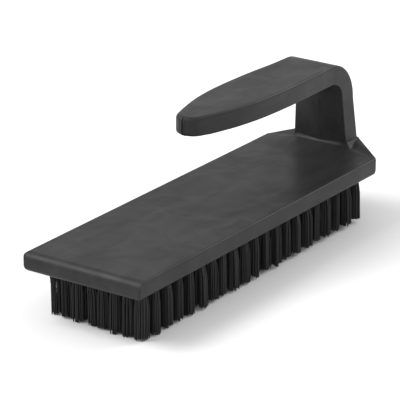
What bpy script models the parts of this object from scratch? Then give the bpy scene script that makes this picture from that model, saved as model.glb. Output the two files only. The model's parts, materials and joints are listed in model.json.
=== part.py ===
"""Wheel brush: a one-piece polypropylene block with an open-ended handle, and 21 rows of tufts.

The frame: +Z up, the brush stands on its tuft tips at z = 0, +X runs from the free nose of the
handle to the post that carries it, and the brush is symmetrical about y = 0. The origin is under
the middle of the overall length. Every size is in metres.
"""

import math

import bmesh
import bpy
from mathutils import Matrix, Vector

MM = 0.001
SHARP_ANGLE = math.radians(35)   # edges that turn more than this are shaded as sharp

# ---------------------------------------------------------------- driving dimensions

BLOCK_LENGTH = 210.0 * MM        # the rectangular part of the block
TAIL_LENGTH = 12.0 * MM          # the tapered part behind it
BLOCK_WIDTH = 69.4 * MM
BLOCK_THICKNESS = 9.5 * MM
TRIM_LENGTH = 25.0 * MM          # tuft standing out below the block

FRONT_LIP_RADIUS = 2.7 * MM      # roundings of the block's edges
UNDERSIDE_RADIUS = 2.8 * MM
LONG_EDGE_RADIUS = 1.2 * MM
TAIL_EDGE_RADIUS = 1.8 * MM

STEP_RUN = 2.4 * MM              # from the foot of the step up to its ledge, front to back
STEP_RISE = 4.6 * MM
LEDGE_FALL = 0.6 * MM            # the ledge is this much lower behind the post than before it
LEDGE_OVERHANG = 1.6 * MM        # the ledge reaches this far in front of the back corners

POST_WIDTH_BASE = 32.2 * MM
POST_WIDTH_TOP = 29.0 * MM
POST_DEPTH_BASE = 12.0 * MM      # front to back
POST_DEPTH_TOP = 11.3 * MM
POST_LEAN = 2.4 * MM             # the front of the post meets the bend this much ahead of the hips
POST_MARGIN = 0.4 * MM           # the tail is this much wider than the post on each side
GRIP_WIDTH = 32.0 * MM
GRIP_THICKNESS = 10.1 * MM
FINGER_GAP = 39.5 * MM           # block top to the underside of the grip, at the bend
NOSE_REACH = 126.3 * MM          # nose of the grip to the back corners of the block
GRIP_RISE = 2.0 * MM             # the grip climbs this much from the bend to the nose
BEND_RADIUS = 10.0 * MM          # inside the bend
BEND_DROP = 2.0 * MM             # the middle of its outer curve lies this much below the inner one's
HANDLE_EDGE_RADIUS = 1.8 * MM

TUFT_ROWS = 21
TUFTS_PER_ROW = 8
ROW_PITCH = 9.4 * MM
TUFT_PITCH = 7.5 * MM
FRONT_INSET = 12.8 * MM          # front face of the block to the middle of the first row
TUFT_ROOT_RADIUS = 2.3 * MM
TUFT_SIDES = 6
HOLE_DEPTH = 7.0 * MM
CLEARANCE = 0.35 * MM            # between a tuft and the wall and floor of its hole
TIP_SPLAY_ALONG = 1.4            # a tuft's tips, along the brush, against its root
TIP_CROSSING = 0.15 * MM         # how far a tuft's tips reach past the middle of the gap

# ---------------------------------------------------------------- places that follow from them

REAR_X = (BLOCK_LENGTH + TAIL_LENGTH) / 2
FRONT_X = -REAR_X
HIP_X = REAR_X - TAIL_LENGTH
HALF_WIDTH = BLOCK_WIDTH / 2
UNDERSIDE_Z = TRIM_LENGTH
TOP_Z = UNDERSIDE_Z + BLOCK_THICKNESS
HIP_HALF_WIDTH = POST_WIDTH_BASE / 2 + POST_MARGIN
LEDGE_X = HIP_X - LEDGE_OVERHANG  # a narrow ledge runs along the foot of the post
STEP_X = LEDGE_X - STEP_RUN       # where the block's flat top ends and the step up to it begins
LEDGE_Z = TOP_Z + STEP_RISE
LEDGE_REAR_Z = LEDGE_Z - LEDGE_FALL
GRIP_UNDERSIDE_Z = TOP_Z + FINGER_GAP
GRIP_TOP_Z = GRIP_UNDERSIDE_Z + GRIP_THICKNESS
NOSE_X = HIP_X - NOSE_REACH

OBJECT_NAME = "wheel_brush"


# ---------------------------------------------------------------- helpers

def clear_scene():
    for thing in list(bpy.data.objects):
        bpy.data.objects.remove(thing, do_unlink=True)


def make_collection(name):
    collection = bpy.data.collections.new(name)
    bpy.context.scene.collection.children.link(collection)
    return collection


def make_material(name, colour, roughness):
    material = bpy.data.materials.new(name)
    material.use_nodes = True
    shader = material.node_tree.nodes["Principled BSDF"]
    shader.inputs["Base Color"].default_value = (*colour, 1.0)
    shader.inputs["Roughness"].default_value = roughness
    shader.inputs["Metallic"].default_value = 0.0
    return material


def make_object(bm, name, collection, material=None):
    """Turn a bmesh into a smooth-shaded object of its own."""
    bmesh.ops.recalc_face_normals(bm, faces=bm.faces)
    mesh = bpy.data.meshes.new(name)
    bm.to_mesh(mesh)
    bm.free()
    if material:
        mesh.materials.append(material)
    mesh.shade_smooth()
    mesh.set_sharp_from_angle(angle=SHARP_ANGLE)
    thing = bpy.data.objects.new(name, mesh)
    collection.objects.link(thing)
    return thing


def make_cutter(bm, name):
    cutter = make_object(bm, name, cutters)
    cutter.hide_render = True
    cutter.display_type = "WIRE"
    return cutter


def add_boolean(thing, name, operation, cutter):
    modifier = thing.modifiers.new(name, "BOOLEAN")
    modifier.operation = operation
    modifier.solver = "EXACT"
    modifier.object = cutter


# ---------------------------------------------------------------- the block, its tail and hips

def is_at(vertex, x=None, y=None, z=None):
    wanted = (x, y, z)
    return all(w is None or abs(c - w) < 1e-6 for c, w in zip(vertex.co, wanted))


def round_edges(bm, radius_of_edge):
    """Store each edge's own radius as a share of the largest one, for the Bevel modifier."""
    weights = bm.edges.layers.float.new("bevel_weight_edge")
    radii = {edge: radius_of_edge(edge) for edge in bm.edges}
    largest = max(radii.values())
    for edge, radius in radii.items():
        edge[weights] = radius / largest
    return largest


def block_edge_radius(edge):
    """The radius of one edge of the block: 0 where the block runs on into the hips or the post."""
    a, b = edge.verts
    both = lambda **where: is_at(a, **where) and is_at(b, **where)
    if both(z=UNDERSIDE_Z):
        return UNDERSIDE_RADIUS
    if both(x=FRONT_X):
        return FRONT_LIP_RADIUS if both(z=TOP_Z) else TAIL_EDGE_RADIUS
    if both(z=TOP_Z) and (both(y=HALF_WIDTH) or both(y=-HALF_WIDTH)):
        return LONG_EDGE_RADIUS
    corner, foot = sorted((a, b), key=lambda vertex: vertex.co.z)
    if is_at(corner, x=HIP_X, z=TOP_Z) and is_at(foot, x=REAR_X):
        return TAIL_EDGE_RADIUS
    return 0.0


def build_block():
    """A slab whose rear face is drawn out to the tail, and whose tail is pulled up to the post."""
    bm = bmesh.new()
    size = Vector((HIP_X - FRONT_X, BLOCK_WIDTH, BLOCK_THICKNESS))
    middle = Vector(((HIP_X + FRONT_X) / 2, 0.0, (TOP_Z + UNDERSIDE_Z) / 2))
    bmesh.ops.create_cube(bm, size=1.0, matrix=Matrix.LocRotScale(middle, None, size))

    # The tail: the rear face moves back and narrows to the foot of the post.
    rear_face = [face for face in bm.faces if face.normal.x > 0.9]
    drawn = bmesh.ops.extrude_face_region(bm, geom=rear_face)["geom"]
    bmesh.ops.delete(bm, geom=rear_face, context="FACES_ONLY")
    for vertex in (item for item in drawn if isinstance(item, bmesh.types.BMVert)):
        vertex.co.x = REAR_X
        vertex.co.y = math.copysign(HIP_HALF_WIDTH, vertex.co.y)

    # The hips: the tail's top face rises to the ledge that the post stands on.
    bm.normal_update()
    tail_top = [face for face in bm.faces
                if face.normal.z > 0.9 and face.calc_center_median().x > HIP_X]
    drawn = bmesh.ops.extrude_face_region(bm, geom=tail_top)["geom"]
    bmesh.ops.delete(bm, geom=tail_top, context="FACES_ONLY")
    for vertex in (item for item in drawn if isinstance(item, bmesh.types.BMVert)):
        vertex.co.y = math.copysign(HIP_HALF_WIDTH, vertex.co.y)
        if is_at(vertex, x=HIP_X):
            vertex.co.x = LEDGE_X
            vertex.co.z = LEDGE_Z
        else:
            vertex.co.z = LEDGE_REAR_Z

    # The step up to the ledge: its foot bows forward in the middle.
    step_foot = next(edge for edge in bm.edges
                     if all(is_at(v, x=HIP_X, z=TOP_Z) for v in edge.verts))
    made = bmesh.ops.subdivide_edges(bm, edges=[step_foot], cuts=2)["geom_inner"]
    for vertex in (item for item in made if isinstance(item, bmesh.types.BMVert)):
        side = math.copysign(1, vertex.co.y)
        vertex.co = Vector((STEP_X, side * HIP_HALF_WIDTH, TOP_Z))
        ledge = next(v for v in bm.verts if is_at(v, LEDGE_X, side * HIP_HALF_WIDTH, LEDGE_Z))
        bmesh.ops.connect_verts(bm, verts=[vertex, ledge])

    # Each bent side quad is split from the block's corner to the post's rear corner, and the
    # lower half then lies in the tail's side wall and joins it.
    for side in (-1, 1):
        corner = next(v for v in bm.verts if is_at(v, HIP_X, side * HALF_WIDTH, TOP_Z))
        foot = next(v for v in bm.verts if is_at(v, REAR_X, side * HIP_HALF_WIDTH, LEDGE_REAR_Z))
        bmesh.ops.connect_verts(bm, verts=[corner, foot])
    flat = [edge for edge in bm.edges if edge.is_manifold and edge.calc_face_angle() < 1e-4]
    bmesh.ops.dissolve_edges(bm, edges=flat, use_verts=True)

    largest = round_edges(bm, block_edge_radius)
    block = make_object(bm, "brush_body", parts, body_plastic)
    bevel = block.modifiers.new("rounded_edges", "BEVEL")
    bevel.limit_method = "WEIGHT"
    bevel.width = largest
    bevel.segments = 3
    return block


# ---------------------------------------------------------------- the handle

BEND_STEPS = 7
POST_SHARES = (0.0, 0.35, 0.7)   # cross-sections of the post, as shares of its height
FOOT_INSET = 0.3 * MM            # the foot stands just inside the back of the tail
FOOT_DEPTH = 3.0 * MM            # and starts this far below the block's top

# Distance behind the nose of each cross-section of the grip, and the half width there. The outline
# is a blunt round nose that swells to its full width over the middle of the hand.
GRIP_STATIONS = {
    96.0 * MM: 15.2 * MM,
    78.0 * MM: GRIP_WIDTH / 2,
    60.0 * MM: GRIP_WIDTH / 2,
    47.0 * MM: 15.5 * MM,
    37.0 * MM: 14.5 * MM,
    28.0 * MM: 13.1 * MM,
    21.5 * MM: 11.5 * MM,
    16.0 * MM: 10.0 * MM,
    11.5 * MM: 8.6 * MM,
    7.6 * MM: 7.6 * MM,
    5.2 * MM: 7.1 * MM,
    3.2 * MM: 6.1 * MM,
    1.6 * MM: 4.6 * MM,
    0.6 * MM: 3.2 * MM,
    0.0 * MM: 2.0 * MM,
}
NOSE_PINCH = (0.04, 0.11, 0.2)   # how far the last cross-sections draw in, above and below


def mix(a, b, share):
    return a + (b - a) * share


def handle_profile():
    """Pairs of an inner and an outer point in the x-z plane, from the foot of the post to the nose.

    The post is straight, the bend turns a quarter of a circle inside and of an ellipse outside,
    and the grip is straight again.
    """
    post_face_x = HIP_X - POST_LEAN
    inner_centre = Vector((post_face_x - BEND_RADIUS, GRIP_UNDERSIDE_Z - BEND_RADIUS))
    outer_centre = Vector((inner_centre.x, inner_centre.y - BEND_DROP))
    outer_reach = Vector((BEND_RADIUS + POST_DEPTH_TOP, GRIP_TOP_Z - outer_centre.y))
    foot_z = TOP_Z - FOOT_DEPTH
    inner_foot = Vector((REAR_X - POST_DEPTH_BASE - FOOT_INSET, foot_z))
    outer_foot = Vector((REAR_X - FOOT_INSET, foot_z))

    bend = []
    for step in range(BEND_STEPS + 1):
        angle = math.radians(90) * step / BEND_STEPS
        turn = Vector((math.cos(angle), math.sin(angle)))
        bend.append((inner_centre + BEND_RADIUS * turn, outer_centre + outer_reach * turn))
    post = [(mix(inner_foot, bend[0][0], share), mix(outer_foot, bend[0][1], share))
            for share in POST_SHARES]
    grip_inner, grip_outer = bend[-1]
    nose_inner = Vector((NOSE_X, GRIP_UNDERSIDE_Z + GRIP_RISE))
    nose_outer = Vector((NOSE_X, GRIP_TOP_Z + GRIP_RISE))
    grip = []
    for behind_nose in GRIP_STATIONS:
        share = 1 - behind_nose / (grip_inner.x - NOSE_X)
        grip.append((mix(grip_inner, nose_inner, share), mix(grip_outer, nose_outer, share)))
    return post + bend + grip


def handle_half_widths():
    """The post narrows from its foot to the bend, and the grip follows its stations."""
    post = [mix(POST_WIDTH_BASE, POST_WIDTH_TOP, share) / 2 for share in POST_SHARES]
    bend = [POST_WIDTH_TOP / 2] * (BEND_STEPS + 1)
    return post + bend + list(GRIP_STATIONS.values())


def rounded_section(inner, outer, half_width, radius):
    """The corners of a rounded rectangle across the handle, three points to each corner."""
    middle = (inner + outer) / 2
    across = (outer - inner) / 2
    half_thickness = across.length
    radius = min(radius, half_width, half_thickness)
    points = []
    for quarter in range(4):
        side_y = 1 if quarter in (0, 3) else -1
        side_t = 1 if quarter < 2 else -1
        for step in range(3):
            angle = math.radians(90 * quarter + 45 * step)
            y = side_y * (half_width - radius) + radius * math.cos(angle)
            t = side_t * (half_thickness - radius) + radius * math.sin(angle)
            place = middle + across.normalized() * t
            points.append(Vector((place.x, y, place.y)))
    return points


def build_handle():
    """A loft through the cross-sections, closed by a flat face at the foot and at the nose."""
    bm = bmesh.new()
    sections = list(zip(handle_profile(), handle_half_widths()))
    pinches = [0.0] * (len(sections) - len(NOSE_PINCH)) + list(NOSE_PINCH)
    rings = []
    for ((inner, outer), half_width), pinch in zip(sections, pinches):
        low, high = mix(inner, outer, pinch), mix(outer, inner, pinch)
        ring = rounded_section(low, high, half_width, HANDLE_EDGE_RADIUS)
        rings.append([bm.verts.new(point) for point in ring])
    for near, far in zip(rings, rings[1:]):
        for i in range(len(near)):
            j = (i + 1) % len(near)
            bm.faces.new((near[i], near[j], far[j], far[i]))
    bm.faces.new(rings[0])
    bm.faces.new(rings[-1])
    return make_cutter(bm, "handle_form")


# ---------------------------------------------------------------- tufts and their holes

def tuft_places():
    for row in range(TUFT_ROWS):
        for column in range(TUFTS_PER_ROW):
            x = FRONT_X + FRONT_INSET + row * ROW_PITCH
            y = (column - (TUFTS_PER_ROW - 1) / 2) * TUFT_PITCH
            yield row, column, x, y


def add_prism(bm, x, y, low_z, high_z, radius):
    """An upright prism with a corner on +X, and returns its vertices."""
    corner_on_x = Matrix.Rotation(math.radians(90), 4, "Z")
    place = Matrix.Translation((x, y, (low_z + high_z) / 2)) @ corner_on_x
    made = bmesh.ops.create_cone(bm, cap_ends=True, segments=TUFT_SIDES, radius1=radius,
                                 radius2=radius, depth=high_z - low_z, matrix=place)
    return made["verts"]


def build_holes():
    bm = bmesh.new()
    below = 1.0 * MM
    radius = TUFT_ROOT_RADIUS + CLEARANCE / math.cos(math.pi / TUFT_SIDES)
    for _, _, x, y in tuft_places():
        add_prism(bm, x, y, UNDERSIDE_Z - below, UNDERSIDE_Z + HOLE_DEPTH, radius)
    return make_cutter(bm, "tuft_holes")


def add_tuft(bm, x, y):
    """A tuft is straight in its hole and splays below it, more across the brush than along it.

    Its outer filaments cross those of the next tuft in the row just above the tips.
    """
    tip_half_width = TUFT_PITCH / 2 + TIP_CROSSING
    splay_across = tip_half_width / (TUFT_ROOT_RADIUS * math.cos(math.pi / TUFT_SIDES))
    verts = add_prism(bm, x, y, 0.0, UNDERSIDE_Z, TUFT_ROOT_RADIUS)
    for vertex in verts:
        if is_at(vertex, z=0.0):
            vertex.co.x = x + (vertex.co.x - x) * TIP_SPLAY_ALONG
            vertex.co.y = y + (vertex.co.y - y) * splay_across
    top = next(face for face in bm.faces
               if face.verts[0] in verts and all(is_at(v, z=UNDERSIDE_Z) for v in face.verts))
    drawn = bmesh.ops.extrude_face_region(bm, geom=[top])["geom"]
    bmesh.ops.delete(bm, geom=[top], context="FACES_ONLY")
    root = [item for item in drawn if isinstance(item, bmesh.types.BMVert)]
    bmesh.ops.translate(bm, verts=root, vec=(0, 0, HOLE_DEPTH - CLEARANCE))


def build_tuft_row(row):
    """Every second tuft is the row's own mesh, and the others are joined to it where they cross."""
    meshes = (bmesh.new(), bmesh.new())
    for this_row, column, x, y in tuft_places():
        if this_row == row:
            add_tuft(meshes[column % 2], x, y)
    tufts = make_object(meshes[0], f"tuft_row_{row + 1:02d}", parts, bristle)
    others = make_cutter(meshes[1], f"joined_tufts_{row + 1:02d}")
    add_boolean(tufts, "join_neighbours", "UNION", others)


# ---------------------------------------------------------------- build

clear_scene()
parts = make_collection(OBJECT_NAME)
cutters = make_collection("cutters")
body_plastic = make_material("moulded_black_polypropylene", (0.022, 0.022, 0.023), 0.45)
bristle = make_material("black_nylon_filament", (0.008, 0.008, 0.009), 0.55)

body = build_block()
add_boolean(body, "join_handle", "UNION", build_handle())
add_boolean(body, "drill_tuft_holes", "DIFFERENCE", build_holes())
for tuft_row in range(TUFT_ROWS):
    build_tuft_row(tuft_row)
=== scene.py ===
# %% [markdown]
# # A wheel brush, from the moulded body to the last filament
# A wheel brush is a hand brush for scrubbing car wheels. It has a one-piece body moulded in black
# polypropylene, a flat block whose tail turns up and over into an open-ended handle, and 168
# tufts of black nylon filament, each folded over a bit of flat wire and driven into its hole.
# The CAD model gives the outer sizes and the rows' places. It is loaded first and never moved.

# %% Load the frame
import json
import math
import random

import bmesh
import bpy
from mathutils import Matrix, Vector

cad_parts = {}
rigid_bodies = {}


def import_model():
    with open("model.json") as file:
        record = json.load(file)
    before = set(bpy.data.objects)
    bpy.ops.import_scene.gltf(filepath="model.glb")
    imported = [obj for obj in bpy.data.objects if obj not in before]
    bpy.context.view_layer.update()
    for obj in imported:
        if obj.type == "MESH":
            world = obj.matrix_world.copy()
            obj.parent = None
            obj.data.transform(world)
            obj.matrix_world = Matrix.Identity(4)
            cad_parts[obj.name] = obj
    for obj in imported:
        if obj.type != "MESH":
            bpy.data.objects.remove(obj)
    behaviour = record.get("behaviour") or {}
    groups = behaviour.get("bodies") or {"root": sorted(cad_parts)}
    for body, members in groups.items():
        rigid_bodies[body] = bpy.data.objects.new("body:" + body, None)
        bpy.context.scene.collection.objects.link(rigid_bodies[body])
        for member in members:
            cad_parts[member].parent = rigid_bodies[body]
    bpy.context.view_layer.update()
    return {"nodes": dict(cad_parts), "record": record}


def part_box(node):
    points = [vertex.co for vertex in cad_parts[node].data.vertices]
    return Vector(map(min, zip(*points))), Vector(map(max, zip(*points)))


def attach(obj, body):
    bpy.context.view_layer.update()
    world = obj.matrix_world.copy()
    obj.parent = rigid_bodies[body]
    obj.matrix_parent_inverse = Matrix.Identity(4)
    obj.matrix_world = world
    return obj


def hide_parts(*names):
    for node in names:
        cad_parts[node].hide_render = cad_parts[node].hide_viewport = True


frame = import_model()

# %% [markdown]
# The frame gives the block's outer faces, the tuft rows and, through the record's mounts, the
# height of the flat top. What lies between them, such as the roundings and the line where the
# block begins to rise to the handle, is a design size and is written here in millimetres.

# %% Main sizes
MM = 0.001
body_low, body_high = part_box("brush_body")
mounts = {mount["name"]: Vector(mount["pos_m"]) for mount in frame["record"]["mounts"]}

FRONT_X, REAR_X = body_low.x, body_high.x
HALF_WIDTH = body_high.y
UNDERSIDE_Z = body_low.z
TOP_Z = mounts["block_top"].z
HIP_X = REAR_X - 12.0 * MM         # behind the hips the block narrows into its tail
TAIL_HALF_WIDTH = 16.5 * MM
print("block top at", round(TOP_Z / MM, 2), "mm, underside at", round(UNDERSIDE_Z / MM, 2), "mm")

# %% [markdown]
# The camera comes first, because every judgement about shape is made through it. It is a long
# lens, seven times the sensor's width, which keeps the block's far edge nearly parallel to the
# near one. It looks from the free end of the handle, 35 degrees to one side and 21 degrees down.

# %% Camera
VIEW_AZIMUTH, VIEW_ELEVATION = math.radians(-55.08), math.radians(20.74)
VIEW_DISTANCE = 1436.8 * MM

towards_camera = Vector((
    math.sin(VIEW_AZIMUTH) * math.cos(VIEW_ELEVATION),
    -math.cos(VIEW_AZIMUTH) * math.cos(VIEW_ELEVATION),
    math.sin(VIEW_ELEVATION),
))
aim = Vector((-7.5 * MM, 3.3 * MM, TOP_Z + 1.64 * MM))
camera = bpy.data.objects.new("camera", bpy.data.cameras.new("camera"))
camera.data.lens = 258.6
camera.data.sensor_width = 36.0
camera.data.clip_start, camera.data.clip_end = 0.05, 50.0
camera.location = aim + towards_camera * VIEW_DISTANCE
camera.rotation_mode = "QUATERNION"
camera.rotation_quaternion = (-towards_camera).to_track_quat("-Z", "Y")
bpy.context.scene.collection.objects.link(camera)
bpy.context.scene.camera = camera
print("camera at", [round(c, 3) for c in camera.location])

# %% [markdown]
# A few things are needed by more than one piece and are written once here: a bmesh becomes an
# object, an object's modifiers are turned into plain mesh, a surface is cut by a row of planes,
# and two heights meet in a rounded ridge or hollow.

# %% Helpers for meshes
SHARP_ANGLE = math.radians(32)     # edges that turn more than this stay sharp when shaded


def make_piece(bm, name, sharp_angle=SHARP_ANGLE):
    """Turn a bmesh into a smooth-shaded object at the origin, with outward faces."""
    bmesh.ops.recalc_face_normals(bm, faces=bm.faces)
    mesh = bpy.data.meshes.new(name)
    bm.to_mesh(mesh)
    bm.free()
    mesh.shade_smooth()
    mesh.set_sharp_from_angle(angle=sharp_angle)
    piece = bpy.data.objects.new(name, mesh)
    bpy.context.scene.collection.objects.link(piece)
    return piece


def apply_modifiers(piece):
    """Replace the piece's mesh by the one its modifiers make."""
    bpy.context.view_layer.update()
    evaluated = piece.evaluated_get(bpy.context.evaluated_depsgraph_get())
    mesh = bpy.data.meshes.new_from_object(evaluated)
    piece.modifiers.clear()
    piece.data = mesh
    return piece


def cut_along(bm, axis, places, is_cut):
    """Cut the faces that is_cut accepts with planes across one axis, one at each place."""
    normal = Vector((0, 0, 0))
    normal[axis] = 1.0
    for place in places:
        faces = [face for face in bm.faces if is_cut(face.calc_center_median())]
        around = dict.fromkeys(item for face in faces for item in (*face.verts, *face.edges))
        bmesh.ops.bisect_plane(bm, geom=[*faces, *around], plane_co=normal * place,
                               plane_no=normal, dist=1e-7)


def steps(start, end, spacing):
    """Evenly spaced places from start to end, both included."""
    count = max(1, round((end - start) / spacing))
    return [start + (end - start) * i / count for i in range(count + 1)]


def smooth_min(a, b, reach):
    """The smaller of two heights, with the ridge where they meet rounded over reach."""
    overlap = max(reach - abs(a - b), 0.0) / reach
    return min(a, b) - overlap * overlap * reach / 4


def smooth_max(a, b, reach):
    """The larger of two heights, with the hollow where they meet rounded over reach."""
    return -smooth_min(-a, -b, reach)

# %% [markdown]
# The block is a plain slab. Its plan is a rectangle whose rear is drawn out into a short, narrower
# tail, so it starts as a cube, and the rear face is extruded and scaled. Each edge of the moulding
# has its own rounding: broad along the front lip and the underside, small along the top of the
# long sides. Bevel weights hold those radii, and one Bevel modifier then makes clean corners
# where three different radii meet, which separate bevels could not.

# %% The slab and its roundings
UNDERSIDE_RADIUS = 2.8 * MM
FRONT_LIP_RADIUS = 4.8 * MM
LONG_EDGE_RADIUS = 1.2 * MM
CORNER_RADIUS = 1.0 * MM
TAIL_EDGE_RADIUS = 0.6 * MM
REAR_EDGE_RADIUS = 0.3 * MM
ROUNDING_STEPS = 6
FLAT_ANGLE = 0.001                 # radians; faces that meet at less are one flat face

slab = bmesh.new()
bmesh.ops.create_cube(slab, size=1.0)
slab_size = Vector((HIP_X - FRONT_X, 2 * HALF_WIDTH, TOP_Z - UNDERSIDE_Z))
slab_middle = Vector(((HIP_X + FRONT_X) / 2, 0.0, (TOP_Z + UNDERSIDE_Z) / 2))
slab_place = Matrix.LocRotScale(slab_middle, None, slab_size)
bmesh.ops.transform(slab, matrix=slab_place, verts=slab.verts)

rear_face = [face for face in slab.faces if face.normal.x > 0.9]
drawn_out = bmesh.ops.extrude_face_region(slab, geom=rear_face)["geom"]
bmesh.ops.delete(slab, geom=rear_face, context="FACES_ONLY")
tail_corners = [item for item in drawn_out if isinstance(item, bmesh.types.BMVert)]
bmesh.ops.translate(slab, vec=(REAR_X - HIP_X, 0, 0), verts=tail_corners)
bmesh.ops.scale(slab, vec=(1, TAIL_HALF_WIDTH / HALF_WIDTH, 1), verts=tail_corners)
bmesh.ops.recalc_face_normals(slab, faces=slab.faces)
flat_seams = [edge for edge in slab.edges if edge.calc_face_angle() < FLAT_ANGLE]
bmesh.ops.dissolve_edges(slab, edges=flat_seams)


def slab_edge_radius(edge):
    """The rounding of one edge of the slab, from where its middle lies."""
    middle = (edge.verts[0].co + edge.verts[1].co) / 2
    if middle.z < UNDERSIDE_Z + MM:
        return UNDERSIDE_RADIUS
    if middle.z < TOP_Z - MM:
        return CORNER_RADIUS
    if middle.x < FRONT_X + MM:
        return FRONT_LIP_RADIUS
    if middle.x > REAR_X - MM:
        return REAR_EDGE_RADIUS
    return LONG_EDGE_RADIUS if middle.x < HIP_X else TAIL_EDGE_RADIUS


weights = slab.edges.layers.float.new("bevel_weight_edge")
for edge in slab.edges:
    edge[weights] = slab_edge_radius(edge) / UNDERSIDE_RADIUS

block = make_piece(slab, "block")
rounding = block.modifiers.new("rounded_edges", "BEVEL")
rounding.limit_method = "WEIGHT"
rounding.width = UNDERSIDE_RADIUS
rounding.segments = ROUNDING_STEPS
apply_modifiers(block)
print("rounded slab:", len(block.data.polygons), "faces")

# %% [markdown]
# Towards the post the flat top lifts in a shallow sweep, and a short steep lip runs round the
# post's foot. Beside the post a facet climbs to a hip, and the hip slopes off to the back corner.
# Each could be a face of its own, but in the mould they run into one smooth hollow. So they are
# written as one height over the plan, the highest of sweep, facet and lip. Where two of them
# meet in a ridge, a smooth minimum rounds it, and where they meet in a hollow, a smooth maximum
# does.

# %% Heights of the rise to the post
SWEEP_START_X, SWEEP_END_X = HIP_X - 18 * MM, HIP_X - 1.8 * MM
SWEEP_RISE, SWEEP_RISE_MIDDLE = 2.4 * MM, 0.9 * MM     # beside the post, and more before it
HIP_SLOPE = 0.262                                      # down from the foot to the back corner
REAR_SLOPE = 0.044                                     # the hip falls a little to the rear
FACET_RISE = 2.1 * MM
FACET_SLOPE, FACET_FALL = 0.3, 0.127                   # up towards the rear, down to the side
LIP_RISE, SIDE_LIP_DROP = 6.1 * MM, 1.1 * MM           # the lip is lower beside the post
LIP_SLOPE, SIDE_LIP_SLOPE = 1.75, 1.3
MIDDLE_FADE, LIP_FADE = 4 * MM, 3 * MM                 # how gradually each ends at the side
POST_FRONT_X, POST_FOOT_HALF_WIDTH = HIP_X - 0.2 * MM, 16.4 * MM
BLEND = 0.5 * MM


def ease(value, start, end):
    """Zero before start, one after end, and smooth between them."""
    t = min(max((value - start) / (end - start), 0.0), 1.0)
    return t * t * (3 - 2 * t)


def rise(x, y):
    """How far the top stands above the flat block at one point of the plan."""
    beside = max(abs(y) - TAIL_HALF_WIDTH, 0.0)
    inwards = 1 - min(beside / (HALF_WIDTH - TAIL_HALF_WIDTH), 1.0)
    along = ease(x, SWEEP_START_X, 2 * SWEEP_END_X - SWEEP_START_X) * 2
    before_post = 1 - ease(abs(y), TAIL_HALF_WIDTH - MIDDLE_FADE, TAIL_HALF_WIDTH)
    sweep = min(along, 1.0) * (SWEEP_RISE * inwards + SWEEP_RISE_MIDDLE * before_post)
    facet = FACET_RISE + (x - HIP_X) * FACET_SLOPE - beside * FACET_FALL
    hip = max(HALF_WIDTH - abs(y), 0.0) * HIP_SLOPE - max(x - HIP_X, 0.0) * REAR_SLOPE
    height = smooth_max(sweep, smooth_min(facet, hip, BLEND), BLEND)
    fall = math.hypot(max(POST_FRONT_X - x, 0.0) * LIP_SLOPE,
                      max(abs(y) - POST_FOOT_HALF_WIDTH, 0.0) * SIDE_LIP_SLOPE)
    fall += SIDE_LIP_DROP * ease(abs(y), POST_FOOT_HALF_WIDTH - LIP_FADE, POST_FOOT_HALF_WIDTH)
    lip = LIP_RISE - fall - max(x - HIP_X, 0.0) * REAR_SLOPE
    return max(smooth_max(height, lip, BLEND), 0.0)


print("the post's foot stands", round(rise(POST_FRONT_X, 0) / MM, 2), "mm above the flat top")

# %% [markdown]
# A slab has no points in the middle of its top, so there is nothing to raise yet. Planes cut the
# top into a grid, which is fine only across the lip, where the height changes fast. Each point is
# then raised by its height, and the faces are split into triangles, because a four-sided face
# that isn't flat shades unevenly.

# %% Raise the top of the block
FINE_GRID, COARSE_GRID = 0.4 * MM, 1.3 * MM
LIP_ENDS_X = HIP_X + 6 * MM

surface = bmesh.new()
surface.from_mesh(block.data)
middle_z = (TOP_Z + UNDERSIDE_Z) / 2


def in_rise(place):
    """Whether a place on the block belongs to the part of the top that rises."""
    return place.z > middle_z and place.x > SWEEP_START_X


cut_along(surface, 0, [SWEEP_START_X], lambda place: place.z > middle_z)
for start, end, spacing in ((SWEEP_START_X, SWEEP_END_X - MM, COARSE_GRID),
                            (SWEEP_END_X - MM, LIP_ENDS_X, FINE_GRID),
                            (LIP_ENDS_X, REAR_X - MM, COARSE_GRID)):
    cut_along(surface, 0, steps(start, end, spacing)[1:], in_rise)
foot_inside, foot_outside = POST_FOOT_HALF_WIDTH - 2.4 * MM, POST_FOOT_HALF_WIDTH + 1.2 * MM
across = steps(0, foot_inside, COARSE_GRID)[:-1]
across += steps(foot_inside, POST_FOOT_HALF_WIDTH, FINE_GRID)[:-1]
across += steps(POST_FOOT_HALF_WIDTH, foot_outside, FINE_GRID / 3)[:-1]
across += steps(foot_outside, HALF_WIDTH - LONG_EDGE_RADIUS, COARSE_GRID / 1.5)
cut_along(surface, 1, sorted({y * side for y in across for side in (-1, 1)}), in_rise)
for vertex in surface.verts:
    if in_rise(vertex.co):
        vertex.co.z += rise(vertex.co.x, vertex.co.y)
warped = [face for face in surface.faces if in_rise(face.calc_center_median())]
bmesh.ops.triangulate(surface, faces=warped)
surface.to_mesh(block.data)
surface.free()
print("block with its rise:", len(block.data.polygons), "faces")

# %% [markdown]
# The handle could be lofted through cross-sections, but its roundings would pinch at the blunt
# nose. It is easier to think of it as a flat strip, cut to its outline in plan: as wide as the
# post, swelling over the palm and tapering to a round nose. The strip is given its thickness
# and its rounded rims while it is flat, and is bent into the side profile last, which keeps
# every rounding true. Its sizes come first.

# %% Sizes of the handle
POST_HALF_WIDTH, BEND_HALF_WIDTH = 16.6 * MM, 14.5 * MM
GRIP_THICKNESS = 10.1 * MM
NOSE_X = HIP_X - 126.3 * MM
BEND_END_X = HIP_X - 12.4 * MM     # the grip is straight from the nose to here
GRIP_LENGTH = BEND_END_X - NOSE_X
FINGER_GAP = 39.5 * MM
INNER_BEND = 10.0 * MM
FOOT_DEPTH = 3.0 * MM
POST_LENGTH = FINGER_GAP - INNER_BEND + FOOT_DEPTH
BEND_LENGTH = 25.0 * MM
NOSE_RADIUS = 7.6 * MM
NOSE_TURN = math.radians(72)       # the nose's arc ends where it meets the taper

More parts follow.
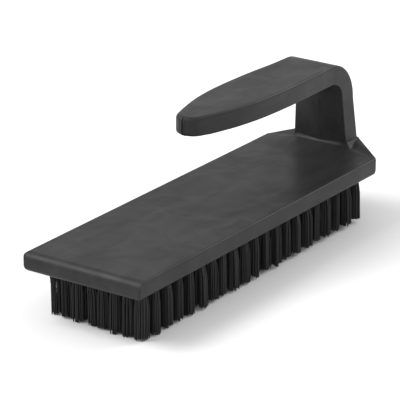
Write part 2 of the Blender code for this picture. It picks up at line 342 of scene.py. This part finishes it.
# Half widths of the grip at distances behind the nose, in millimetres.
PALM_SWELL = (
    (8, 8.05), (11.5, 9.0), (16, 10.2), (21.5, 11.6), (28, 13.1), (37, 14.5),
    (47, 15.5), (60, 16.0), (78, 16.0), (96, 15.2),
    (GRIP_LENGTH / MM, BEND_HALF_WIDTH / MM),
)
STRIP_LENGTH = GRIP_LENGTH + BEND_LENGTH + POST_LENGTH
print("strip:", round(STRIP_LENGTH / MM, 1), "mm long, grip", round(GRIP_LENGTH / MM, 1), "mm")

# %% [markdown]
# The strip lies flat with its nose at the origin, and x runs back along it to the foot. One half
# of the outline is drawn point by point, like a pen line: an arc for the nose, a smooth curve
# through the half widths, and straight lines to the foot. A mirror gives the other half.

# %% Outline of the strip
ARC_STEP, OUTLINE_STEP = math.radians(7), 3.0 * MM
WELD = 0.01 * MM                   # points closer than this are the same point


def through_points(points, spacing):
    """Places about spacing apart on a smooth curve through the points (Catmull-Rom)."""
    padded = [points[0], *points, points[-1]]
    for before, start, end, after in zip(padded, padded[1:], padded[2:], padded[3:]):
        count = max(1, round((end - start).length / spacing))
        for i in range(count):
            t = i / count
            yield 0.5 * (2 * start + (end - before) * t
                         + (2 * before - 5 * start + 4 * end - after) * t ** 2
                         + (3 * start - before - 3 * end + after) * t ** 3)
    yield points[-1]


nose_arc = []
for angle in steps(0, NOSE_TURN, ARC_STEP):
    nose_arc.append(Vector((1 - math.cos(angle), math.sin(angle), 0)) * NOSE_RADIUS)
taper = [nose_arc[-1], *(Vector((x, y, 0)) * MM for x, y in PALM_SWELL)]
outline = nose_arc + list(through_points(taper, OUTLINE_STEP))[1:]
outline.append(Vector((GRIP_LENGTH + BEND_LENGTH, BEND_HALF_WIDTH, 0)))
outline.append(Vector((STRIP_LENGTH, POST_HALF_WIDTH, 0)))
outline.append(Vector((STRIP_LENGTH, 0, 0)))

strip = bmesh.new()
pen = strip.verts.new(outline[0])
for place in outline[1:]:
    pen = bmesh.ops.extrude_vert_indiv(strip, verts=[pen])["verts"][0]
    pen.co = place
half = [*strip.verts, *strip.edges]
bmesh.ops.mirror(strip, geom=half, axis="Y", merge_dist=WELD)
print("outline:", len(strip.edges), "edges")

# %% [markdown]
# The outline is filled with one face, the finger side, and extruded to its thickness. Then one
# Bevel modifier rounds the rims: large round the nose, and behind it small along the finger side
# and larger over the palm. Its width limit is turned off, because the short edges of the outline
# would shrink every rounding.

# %% Thicken the strip and round its rims
NOSE_ROUNDING, NOSE_ROUNDING_LENGTH = 2.8 * MM, 10 * MM
FINGER_EDGE_RADIUS, PALM_EDGE_RADIUS, POST_EDGE_RADIUS = 0.5 * MM, 1.5 * MM, 0.8 * MM

bmesh.ops.contextual_create(strip, geom=strip.edges)
finger_side = list(strip.faces)
thickened = bmesh.ops.extrude_face_region(strip, geom=finger_side)["geom"]
palm_corners = [item for item in thickened if isinstance(item, bmesh.types.BMVert)]
bmesh.ops.translate(strip, vec=(0, 0, GRIP_THICKNESS), verts=palm_corners)
bmesh.ops.recalc_face_normals(strip, faces=strip.faces)


def strip_edge_weight(edge):
    """The rounding of one rim edge of the strip, as a share of the rounding at the nose."""
    start, end = (vertex.co for vertex in edge.verts)
    if abs(start.z - end.z) > WELD or min(start.x, end.x) > STRIP_LENGTH - WELD:
        return 0.0
    along = (start.x + end.x) / 2
    radius = PALM_EDGE_RADIUS if along < GRIP_LENGTH else POST_EDGE_RADIUS
    if start.z < GRIP_THICKNESS / 2:
        radius = FINGER_EDGE_RADIUS
    behind_nose = min(along / NOSE_ROUNDING_LENGTH, 1.0)
    return 1 + (radius / NOSE_ROUNDING - 1) * behind_nose


weights = strip.edges.layers.float.new("bevel_weight_edge")
for edge in strip.edges:
    edge[weights] = strip_edge_weight(edge)
handle = make_piece(strip, "handle")
rounding = handle.modifiers.new("rounded_rims", "BEVEL")
rounding.limit_method = "WEIGHT"
rounding.width = NOSE_ROUNDING
rounding.use_clamp_overlap = False
rounding.segments = ROUNDING_STEPS
apply_modifiers(handle)
print("strip with rounded rims:", len(handle.data.polygons), "faces")

# %% [markdown]
# The handle leaves the mould between two side cores, which meet on its middle plane. They leave
# a witness there: a groove between two faint bumps down the blunt nose, and a fine raised line
# along the rest. Each core also needs draft, so the finger side is a very low roof with its
# ridge on that plane. A groove could be cut with a Boolean, but it is shallow and soft, so the
# strip is cut lengthwise beside the plane, and the points of those cuts are moved instead. It is
# cut across as well, closely where it will bend.

# %% Parting line and draft
WITNESS_STEP = 0.5 * MM
NOSE_WITNESS = (0.6 * MM, -0.35 * MM, -0.3 * MM, 0.1 * MM)     # depth at each line from the middle
NOSE_WITNESS_TOP, NOSE_WITNESS_BOTTOM = 0.6, 1.2               # it fades towards the palm side
NOSE_WITNESS_MARGIN = 0.3 * MM                                 # and stops short of both rims
WITNESS_RIDGE = 0.07 * MM
ROOF_RISE = 0.55 * MM              # the side cores' draft, over the handle's half width
BEND_CUTS = 26
GRIP_CUT_SPACING, POST_CUT_SPACING = 8 * MM, 5 * MM

strip = bmesh.new()
strip.from_mesh(handle.data)
outermost_line = len(NOSE_WITNESS) - 1
witness_lines = [line * WITNESS_STEP for line in range(-outermost_line, outermost_line + 1)]
cut_along(strip, 1, witness_lines, lambda place: True)
bend_places = steps(GRIP_LENGTH, GRIP_LENGTH + BEND_LENGTH, BEND_LENGTH / BEND_CUTS)
post_places = steps(GRIP_LENGTH + BEND_LENGTH, STRIP_LENGTH - MM, POST_CUT_SPACING)[1:]
grip_places = steps(NOSE_RADIUS, GRIP_LENGTH, GRIP_CUT_SPACING)[:-1]
cut_along(strip, 0, grip_places + bend_places + post_places, lambda place: True)

for vertex in strip.verts:
    line = round(abs(vertex.co.y) / WITNESS_STEP)
    if line > outermost_line:
        continue
    height = vertex.co.z / GRIP_THICKNESS
    from_rim = min(vertex.co.z, GRIP_THICKNESS - vertex.co.z)
    if vertex.co.x < NOSE_ROUNDING and from_rim > NOSE_WITNESS_MARGIN:
        fade = NOSE_WITNESS_BOTTOM + (NOSE_WITNESS_TOP - NOSE_WITNESS_BOTTOM) * height
        vertex.co.x += NOSE_WITNESS[line] * fade
    elif vertex.co.x > NOSE_RADIUS:
        ridge = WITNESS_RIDGE if line == 0 else 0.0
        if height < 0.5:
            ridge += ROOF_RISE * (1 - abs(vertex.co.y) / BEND_HALF_WIDTH)
        vertex.co.z += ridge if height > 0.5 else -ridge
print("strip with its parting line:", len(strip.faces), "faces")

# %% [markdown]
# Now the strip is bent. A curve modifier would do it, but the outside of this bend turns more
# widely than the inside, so that the post is thicker than the grip. So the profile is written as
# a pair of lines, inside and outside, and each point of the strip goes between them by its
# height: up the post, round a quarter turn, and along the grip, which climbs 2 mm to its nose.

# %% Bend the strip into the handle
GRIP_RISE = 2.0 * MM
OUTER_BEND = Vector((21.3, 22.1)) * MM
FOOT_FRONT_X, FOOT_REAR_X = REAR_X - 12.3 * MM, REAR_X - 0.3 * MM


def profile(along):
    """The inner and outer points of the handle's side profile, in the x-z plane."""
    underside = TOP_Z + FINGER_GAP
    inner_centre = Vector((BEND_END_X, underside - INNER_BEND))
    outer_centre = Vector((BEND_END_X, underside + GRIP_THICKNESS - OUTER_BEND.y))
    if along <= GRIP_LENGTH:
        lift = GRIP_RISE * (1 - along / GRIP_LENGTH)
        x = NOSE_X + along
        return Vector((x, underside + lift)), Vector((x, underside + GRIP_THICKNESS + lift))
    turn = min((along - GRIP_LENGTH) / BEND_LENGTH, 1.0) * math.radians(90)
    inner = inner_centre + Vector((math.sin(turn), math.cos(turn))) * INNER_BEND
    outer = outer_centre + Vector((math.sin(turn) * OUTER_BEND.x, math.cos(turn) * OUTER_BEND.y))
    down = max(along - GRIP_LENGTH - BEND_LENGTH, 0.0) / POST_LENGTH
    inner_foot = Vector((FOOT_FRONT_X, TOP_Z - FOOT_DEPTH))
    outer_foot = Vector((FOOT_REAR_X, TOP_Z - FOOT_DEPTH))
    return inner.lerp(inner_foot, down), outer.lerp(outer_foot, down)


for vertex in strip.verts:
    inner, outer = profile(vertex.co.x)
    place = inner + (outer - inner) * (vertex.co.z / GRIP_THICKNESS)
    vertex.co = Vector((place.x, vertex.co.y, place.y))
strip.to_mesh(handle.data)
strip.free()
print("handle:", len(handle.data.polygons), "faces")

# %% [markdown]
# The tufts stand in drilled holes, 21 rows of 8. The rows come from the CAD rows, whose boxes
# give the middle of each. The holes are made as one cutter, so that a single exact Boolean
# drills them all. The body is then the block joined to the handle, less the holes. Weighted
# normals keep the big flat faces flat beside their rounded edges.

# %% Join the handle and drill the holes
TUFTS_PER_ROW = 8
TUFT_PITCH = 7.5 * MM
HOLE_RADIUS = 2.7 * MM
HOLE_DEPTH = 7.0 * MM
HOLE_FLOOR_Z = UNDERSIDE_Z + HOLE_DEPTH
LARGE_FACE_WEIGHT = 80             # how much the large faces rule the shading, 50 is even

row_nodes = sorted(name for name in frame["nodes"] if name.startswith("tuft_row_"))
row_boxes = [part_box(name) for name in row_nodes]
row_x = [(low.x + high.x) / 2 for low, high in row_boxes]
column_y = [(column - (TUFTS_PER_ROW - 1) / 2) * TUFT_PITCH for column in range(TUFTS_PER_ROW)]

drill = bmesh.new()
for x in row_x:
    for y in column_y:
        place = Matrix.Translation((x, y, UNDERSIDE_Z))
        bmesh.ops.create_cone(drill, cap_ends=True, segments=16, radius1=HOLE_RADIUS,
                              radius2=HOLE_RADIUS, depth=2 * HOLE_DEPTH, matrix=place)
holes = make_piece(drill, "holes")

body = block
body.name = body.data.name = "moulded_body"
for name, operation, cutter in (("join", "UNION", handle), ("drill", "DIFFERENCE", holes)):
    boolean = body.modifiers.new(name, "BOOLEAN")
    boolean.operation = operation
    boolean.solver = "EXACT"
    boolean.object = cutter
apply_modifiers(body)
for cutter in (handle, holes):
    bpy.data.objects.remove(cutter)
body.data.shade_smooth()
body.data.set_sharp_from_angle(angle=SHARP_ANGLE)
normals = body.modifiers.new("flat_faces_stay_flat", "WEIGHTED_NORMAL")
normals.keep_sharp = True
normals.weight = LARGE_FACE_WEIGHT
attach(body, "root")
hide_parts("brush_body")
print("body:", len(body.data.polygons), "faces,", len(row_x) * TUFTS_PER_ROW, "holes")

# %% [markdown]
# Materials need two helpers: one turns an sRGB hex colour into the linear values that shaders
# use, and one adds a node with its settings and links. Scales are written as sizes in
# millimetres, and the textures read Object coordinates, which are metres here.

# %% Helpers for materials
def linear(hex_colour):
    """An sRGB hex colour as linear RGBA."""
    channels = [int(hex_colour[i:i + 2], 16) / 255 for i in (1, 3, 5)]
    return (*(c / 12.92 if c <= 0.04045 else ((c + 0.055) / 1.055) ** 2.4 for c in channels), 1.0)


def add_node(tree, kind, settings=(), links=()):
    """Add a node. Settings and links name a socket or property, or number a socket."""
    node = tree.nodes.new(kind)
    for name, value in dict(settings).items():
        if isinstance(name, str) and hasattr(node, name):
            setattr(node, name, value)
        else:
            node.inputs[name].default_value = value
    for name, output in dict(links).items():
        tree.links.new(output, node.inputs[name])
    return node


def new_material(name):
    material = bpy.data.materials.new(name)
    material.use_nodes = True
    tree = material.node_tree
    return material, tree, tree.nodes["Principled BSDF"]

# %% [markdown]
# The body is injection-moulded polypropylene, coloured through with carbon black. Its steel mould
# was spark-eroded, which leaves a fine satin grain, so highlights are broad and soft. The plastic
# cooled while it flowed along the mould: it keeps faint flow streaks along the brush, and the
# thick block sank a little between them, which makes a slow, cloudy change in its shine. Each of
# these is a noise of its own size, and those of the flow are drawn out along the brush. The
# grain is really about 0.1 mm and is drawn at 0.5 mm so that it shows at all.

# %% Patterns of the moulding
FLOW_LENGTH, FLOW_WIDTH = 46 * MM, 9 * MM
STREAK_LENGTH, STREAK_WIDTH = 26 * MM, 1.8 * MM
SINK_SIZE = 17 * MM
GRAIN_SIZE = 0.5 * MM

polypropylene, tree, shader = new_material("moulded_black_polypropylene")
place = add_node(tree, "ShaderNodeTexCoord").outputs["Object"]
flow_place = add_node(tree, "ShaderNodeMapping",
                      {"Scale": (1 / FLOW_LENGTH, 1 / FLOW_WIDTH, 1 / FLOW_WIDTH)},
                      {"Vector": place}).outputs["Vector"]
flow = add_node(tree, "ShaderNodeTexNoise",
                {"Scale": 1.0, "Detail": 4.0, "Roughness": 0.55, "Distortion": 0.8},
                {"Vector": flow_place}).outputs["Fac"]
streak_place = add_node(tree, "ShaderNodeMapping",
                        {"Scale": (1 / STREAK_LENGTH, 1 / STREAK_WIDTH, 1 / STREAK_WIDTH)},
                        {"Vector": place}).outputs["Vector"]
streak = add_node(tree, "ShaderNodeTexNoise", {"Scale": 1.0, "Detail": 3.0, "Distortion": 0.5},
                  {"Vector": streak_place}).outputs["Fac"]
sink = add_node(tree, "ShaderNodeTexNoise",
                {"Scale": 1 / SINK_SIZE, "Detail": 2.0, "Distortion": 0.6},
                {"Vector": place}).outputs["Fac"]
grain = add_node(tree, "ShaderNodeTexNoise", {"Scale": 1 / GRAIN_SIZE, "Detail": 2.0},
                 {"Vector": place}).outputs["Fac"]
print("patterns:", len(tree.nodes), "nodes")

# %% [markdown]
# The patterns could go straight into the colour, but most of what shows on black plastic is
# shine. So they change the colour only a little, and the roughness and the bumps carry the rest.
# The specular level is well under the usual one, because the satin grain traps much of the light
# that a polished face would return.

# %% Moulded black polypropylene
clouds = add_node(tree, "ShaderNodeMath", {"operation": "MULTIPLY_ADD", 1: 0.3},
                  {0: streak, 2: flow}).outputs[0]
bloom = add_node(tree, "ShaderNodeMapRange", {"From Min": 0.42, "From Max": 0.88},
                 {"Value": clouds}).outputs["Result"]
tint = add_node(tree, "ShaderNodeMix",
                {"data_type": "RGBA", 6: linear("#2c2c2d"), 7: linear("#363637")},
                {"Factor": bloom}).outputs[2]
polish = add_node(tree, "ShaderNodeMapRange",
                  {"From Min": 0.3, "From Max": 0.7, "To Min": 0.32, "To Max": 0.46},
                  {"Value": sink}).outputs["Result"]
waves = add_node(tree, "ShaderNodeBump", {"Strength": 0.6, "Distance": 0.5 * MM},
                 {"Height": sink}).outputs["Normal"]
streaks = add_node(tree, "ShaderNodeBump", {"Strength": 0.4, "Distance": 0.15 * MM},
                   {"Height": clouds, "Normal": waves}).outputs["Normal"]
satin = add_node(tree, "ShaderNodeBump", {"Strength": 0.12, "Distance": 0.03 * MM},
                 {"Height": grain, "Normal": streaks}).outputs["Normal"]
for socket, output in (("Base Color", tint), ("Roughness", polish), ("Normal", satin)):
    tree.links.new(output, shader.inputs[socket])
shader.inputs["IOR"].default_value = 1.49
shader.inputs["Specular IOR Level"].default_value = 0.14
body.data.materials.clear()
body.data.materials.append(polypropylene)
print("material:", polypropylene.name, "with", len(tree.nodes), "nodes")

# %% [markdown]
# Each tuft is folded over an anchor, a short piece of flat galvanised wire that a tufting machine
# drives into the hole on edge. Only its edge could be seen, between the filaments, so a cube
# with bevelled edges is enough, and all 168 are one piece.

# %% Anchors
ANCHOR_SIZE = Vector((0.35, 5.2, 2.0)) * MM
ANCHOR_GAP = 0.2 * MM              # from the anchor to the floor of its hole
ANCHOR_EDGE = 0.08 * MM

anchor_wires = bmesh.new()
for x in row_x:
    for y in column_y:
        middle = Vector((x, y, HOLE_FLOOR_Z - ANCHOR_GAP - ANCHOR_SIZE.z / 2))
        bmesh.ops.create_cube(anchor_wires, size=1.0,
                              matrix=Matrix.LocRotScale(middle, None, ANCHOR_SIZE))
bmesh.ops.bevel(anchor_wires, geom=anchor_wires.edges, offset=ANCHOR_EDGE,
                offset_type="OFFSET", segments=1, profile=0.5, affect="EDGES", material=-1)
anchors = make_piece(anchor_wires, "tuft_anchors")
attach(anchors, "root")
print("anchors:", len(anchors.data.polygons), "faces")

# %% [markdown]
# The wire is steel with a thin coat of zinc from a hot bath. The zinc freezes in small, pale
# grey crystals, which reflect in patches that are partly bright and partly dull.

# %% Galvanised steel wire
SPANGLE_SIZE = 0.4 * MM

zinc_wire, tree, shader = new_material("galvanised_steel_wire")
place = add_node(tree, "ShaderNodeTexCoord").outputs["Object"]
spangle = add_node(tree, "ShaderNodeTexNoise", {"Scale": 1 / SPANGLE_SIZE, "Detail": 3.0},
                   {"Vector": place}).outputs["Fac"]
dull = add_node(tree, "ShaderNodeMapRange", {"To Min": 0.28, "To Max": 0.5},
                {"Value": spangle}).outputs["Result"]
zinc = add_node(tree, "ShaderNodeMix",
                {"data_type": "RGBA", 6: linear("#b4b5b3"), 7: linear("#cfd0cd")},
                {"Factor": spangle}).outputs[2]
tree.links.new(zinc, shader.inputs["Base Color"])
tree.links.new(dull, shader.inputs["Roughness"])
shader.inputs["Metallic"].default_value = 1.0
anchors.data.materials.append(zinc_wire)
print("material:", zinc_wire.name)

# %% [markdown]
# A tuft is a bundle of straight nylon filaments. They are packed tight in the hole, splay a
# little below it and end at the trimming cut, each at a slightly different height. Thousands
# are needed, so one filament is modelled once: a thin five-sided rod, cut into three lengths.
# Copies of it are added to each row, and every copy is laid from its root to its own tip. A real
# filament is about 0.4 mm thick. That is too fine to show, so it is drawn 0.6 mm thick, and fewer
# of them fill the hole.

# %% One filament
FILAMENT_RADIUS = 0.3 * MM
FILAMENT_LENGTHS = 3

rod = bmesh.new()
bmesh.ops.create_cone(rod, cap_ends=True, segments=5, radius1=1.0, radius2=1.0, depth=1.0,
                      matrix=Matrix.Translation((0, 0, 0.5)))
long_edges = [edge for edge in rod.edges if abs(edge.verts[0].co.z - edge.verts[1].co.z) > 0.5]
bmesh.ops.subdivide_edges(rod, edges=long_edges, cuts=FILAMENT_LENGTHS - 1)
filament = bpy.data.meshes.new("filament")
rod.to_mesh(filament)
rod.free()
print("one filament:", len(filament.polygons), "faces")

# %% [markdown]
# The bundle's roots fill their hole like seeds in a sunflower, which packs a circle evenly. A
# tip lies further out in the same direction, with some scatter. Filaments cling to their
# neighbours, so each tuft is split into a few clumps, which shift and end together. The random
# numbers are seeded, so the brush is the same each time.

# %% How a tuft is laid
FILAMENTS = 66
ROOT_RADIUS = 2.35 * MM
TIP_SPREAD = Vector((3.9, 3.5)) * MM
FLARE, FLARE_DEPTH = 0.8, 0.36     # most of the spread is reached a third of the way down
GOLDEN_ANGLE = math.pi * (3 - math.sqrt(5))
TIP_SCATTER, BOW = 0.2 * MM, 0.1 * MM
CLUMPS, CLUMP_SHIFT, CLUMP_TRIM = 7, 0.28 * MM, 1.3 * MM
TRIM_SCATTER = 0.12 * MM
ROOT_END_Z = HOLE_FLOOR_Z - MM                         # filaments start beside their anchor
HOLE_MOUTH_Z = UNDERSIDE_Z + 0.3 * MM                  # and spread from just inside the hole
TIPS_Z = row_boxes[0][0].z
dice = random.Random(7)


def scatter(amount):
    """A random sideways shift."""
    return Vector((dice.gauss(0, 1), dice.gauss(0, 1))) * amount


def lay_tuft(bm, shade_layer, x, y, lean, tips_z):
    """Add one tuft, whose filaments run from its hole at (x, y) to the tips."""
    clumps = [(scatter(CLUMP_SHIFT), dice.random() * CLUMP_TRIM) for _ in range(CLUMPS)]
    for number in range(FILAMENTS):
        out = math.sqrt((number + 0.5) / FILAMENTS)
        angle = number * GOLDEN_ANGLE
        direction = Vector((math.cos(angle), math.sin(angle))) * out
        shift, trim = clumps[int(angle / math.tau * CLUMPS) % CLUMPS]
        root = Vector((x, y)) + direction * ROOT_RADIUS
        spread = Vector((direction.x * TIP_SPREAD.x, direction.y * TIP_SPREAD.y))
        tip = Vector((x, y)) + spread + lean + shift + scatter(TIP_SCATTER)
        tip_z = max(tips_z + trim + abs(dice.gauss(0, 1)) * TRIM_SCATTER, TIPS_Z)
        flare_z = UNDERSIDE_Z + (tip_z - UNDERSIDE_Z) * FLARE_DEPTH
        path = (
            (root, ROOT_END_Z),
            (root, HOLE_MOUTH_Z),
            (root.lerp(tip, FLARE) + scatter(BOW), flare_z),
            (tip, tip_z),
        )
        shade = dice.random()
        first = len(bm.verts)
        bm.from_mesh(filament)
        bm.verts.ensure_lookup_table()
        for vertex in bm.verts[first:]:
            centre, z = path[round(vertex.co.z * FILAMENT_LENGTHS)]
            vertex.co = Vector((centre.x + vertex.co.x * FILAMENT_RADIUS,
                                centre.y + vertex.co.y * FILAMENT_RADIUS, z))
            vertex[shade_layer] = shade


print("a tuft:", FILAMENTS, "filaments in", CLUMPS, "clumps")

# %% [markdown]
# The 168 tufts could be 168 pieces, but nobody would pick them one by one, so each row is one
# piece, as its CAD node is. Every tuft leans a little at random. Use has pushed the far tufts of
# the front row back under the block, and the rear rows are trimmed slightly shorter.

# %% Lay the tufts, one row to a piece
TUFT_LEAN = 0.4 * MM
REAR_TRIM = 1.6 * MM               # how much shorter the last row is
FRONT_LEAN = 3.0 * MM              # how far back the last tuft of the front row leans
FILAMENT_SHARP_ANGLE = math.radians(60)

tuft_pieces = []
for row, (node, x) in enumerate(zip(row_nodes, row_x)):
    tufts = bmesh.new()
    shade_layer = tufts.verts.layers.float.new("filament_shade")
    for column, y in enumerate(column_y):
        lean = scatter(TUFT_LEAN)
        if row == 0:
            lean.x += FRONT_LEAN * column / (TUFTS_PER_ROW - 1)
        tips_z = TIPS_Z + REAR_TRIM * row / (len(row_x) - 1)
        lay_tuft(tufts, shade_layer, x, y, lean, tips_z)
    name = node.replace("tuft_row", "filament_row")
    piece = make_piece(tufts, name, FILAMENT_SHARP_ANGLE)
    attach(piece, "root")
    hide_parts(node)
    tuft_pieces.append(piece)
filament_faces = sum(len(piece.data.polygons) for piece in tuft_pieces)
print(len(tuft_pieces), "rows of tufts,", filament_faces, "faces")

# %% [markdown]
# The filaments are extruded nylon with carbon black in it. Drawing gives them a smooth skin and
# a narrow gleam along their length, a little broken by the fine lines that the die leaves. Those
# lines are far finer than a filament, so they are drawn coarser, as a change of shine every
# millimetre. No two filaments are quite the same black, which is what lets the eye pick them out
# of a tuft, so each carries its own shade as an attribute.

# %% Black nylon filament
DIE_LINE_WIDTH, DIE_LINE_LENGTH = 1 * MM, 6 * MM

nylon, tree, shader = new_material("extruded_black_nylon_filament")
place = add_node(tree, "ShaderNodeTexCoord").outputs["Object"]
shade = add_node(tree, "ShaderNodeAttribute", {"attribute_name": "filament_shade"}).outputs["Fac"]
black = add_node(tree, "ShaderNodeMix",
                 {"data_type": "RGBA", 6: linear("#222223"), 7: linear("#2e2e2f")},
                 {"Factor": shade}).outputs[2]
lengthways = add_node(tree, "ShaderNodeMapping",
                      {"Scale": (1 / DIE_LINE_WIDTH, 1 / DIE_LINE_WIDTH, 1 / DIE_LINE_LENGTH)},
                      {"Vector": place}).outputs["Vector"]
die_lines = add_node(tree, "ShaderNodeTexNoise", {"Scale": 1.0, "Detail": 2.0},
                     {"Vector": lengthways}).outputs["Fac"]
gloss = add_node(tree, "ShaderNodeMapRange", {"To Min": 0.42, "To Max": 0.6},
                 {"Value": die_lines}).outputs["Result"]
tree.links.new(black, shader.inputs["Base Color"])
tree.links.new(gloss, shader.inputs["Roughness"])
shader.inputs["IOR"].default_value = 1.53
shader.inputs["Specular IOR Level"].default_value = 0.22
for piece in tuft_pieces:
    piece.data.materials.append(nylon)
print("material:", nylon.name)

# %% [markdown]
# The brush stands on a plain pale floor that is wide enough to have no edge in view. Black
# plastic is seen mostly by what it reflects, so the light is what shapes it: a soft, even room,
# and a large soft box to each side, which draw the bright lines along the lip and the edges.

# %% Floor, room and soft boxes
FLOOR_HALF_SIZE = 12.0
ROOM_BRIGHTNESS = 0.68

floor_mesh = bmesh.new()
bmesh.ops.create_grid(floor_mesh, x_segments=1, y_segments=1, size=FLOOR_HALF_SIZE)
floor = make_piece(floor_mesh, "floor")
floor.location.z = TIPS_Z
paper, tree, shader = new_material("matt_white_paper")
shader.inputs["Base Color"].default_value = linear("#f6f6f6")
shader.inputs["Roughness"].default_value = 0.9
shader.inputs["Specular IOR Level"].default_value = 0.0
floor.data.materials.append(paper)

room = bpy.data.worlds.new("pale_room")
room.use_nodes = True
room.node_tree.nodes["Background"].inputs["Color"].default_value = (1, 1, 1, 1)
room.node_tree.nodes["Background"].inputs["Strength"].default_value = ROOM_BRIGHTNESS
bpy.context.scene.world = room
bpy.context.scene.view_settings.view_transform = "Standard"


def add_soft_box(name, place, size, power):
    """A square area light that faces the brush."""
    light = bpy.data.lights.new(name, "AREA")
    light.size = size
    light.energy = power
    box = bpy.data.objects.new(name, light)
    box.location = place
    box.rotation_mode = "QUATERNION"
    box.rotation_quaternion = (aim - box.location).to_track_quat("-Z", "Y")
    bpy.context.scene.collection.objects.link(box)


add_soft_box("left", Vector((-1.0, 1.5, 2.2)), 1.6, 60)
add_soft_box("right", Vector((1.8, -0.84, 1.28)), 1.1, 18)
print("floor, room and soft boxes are in place")
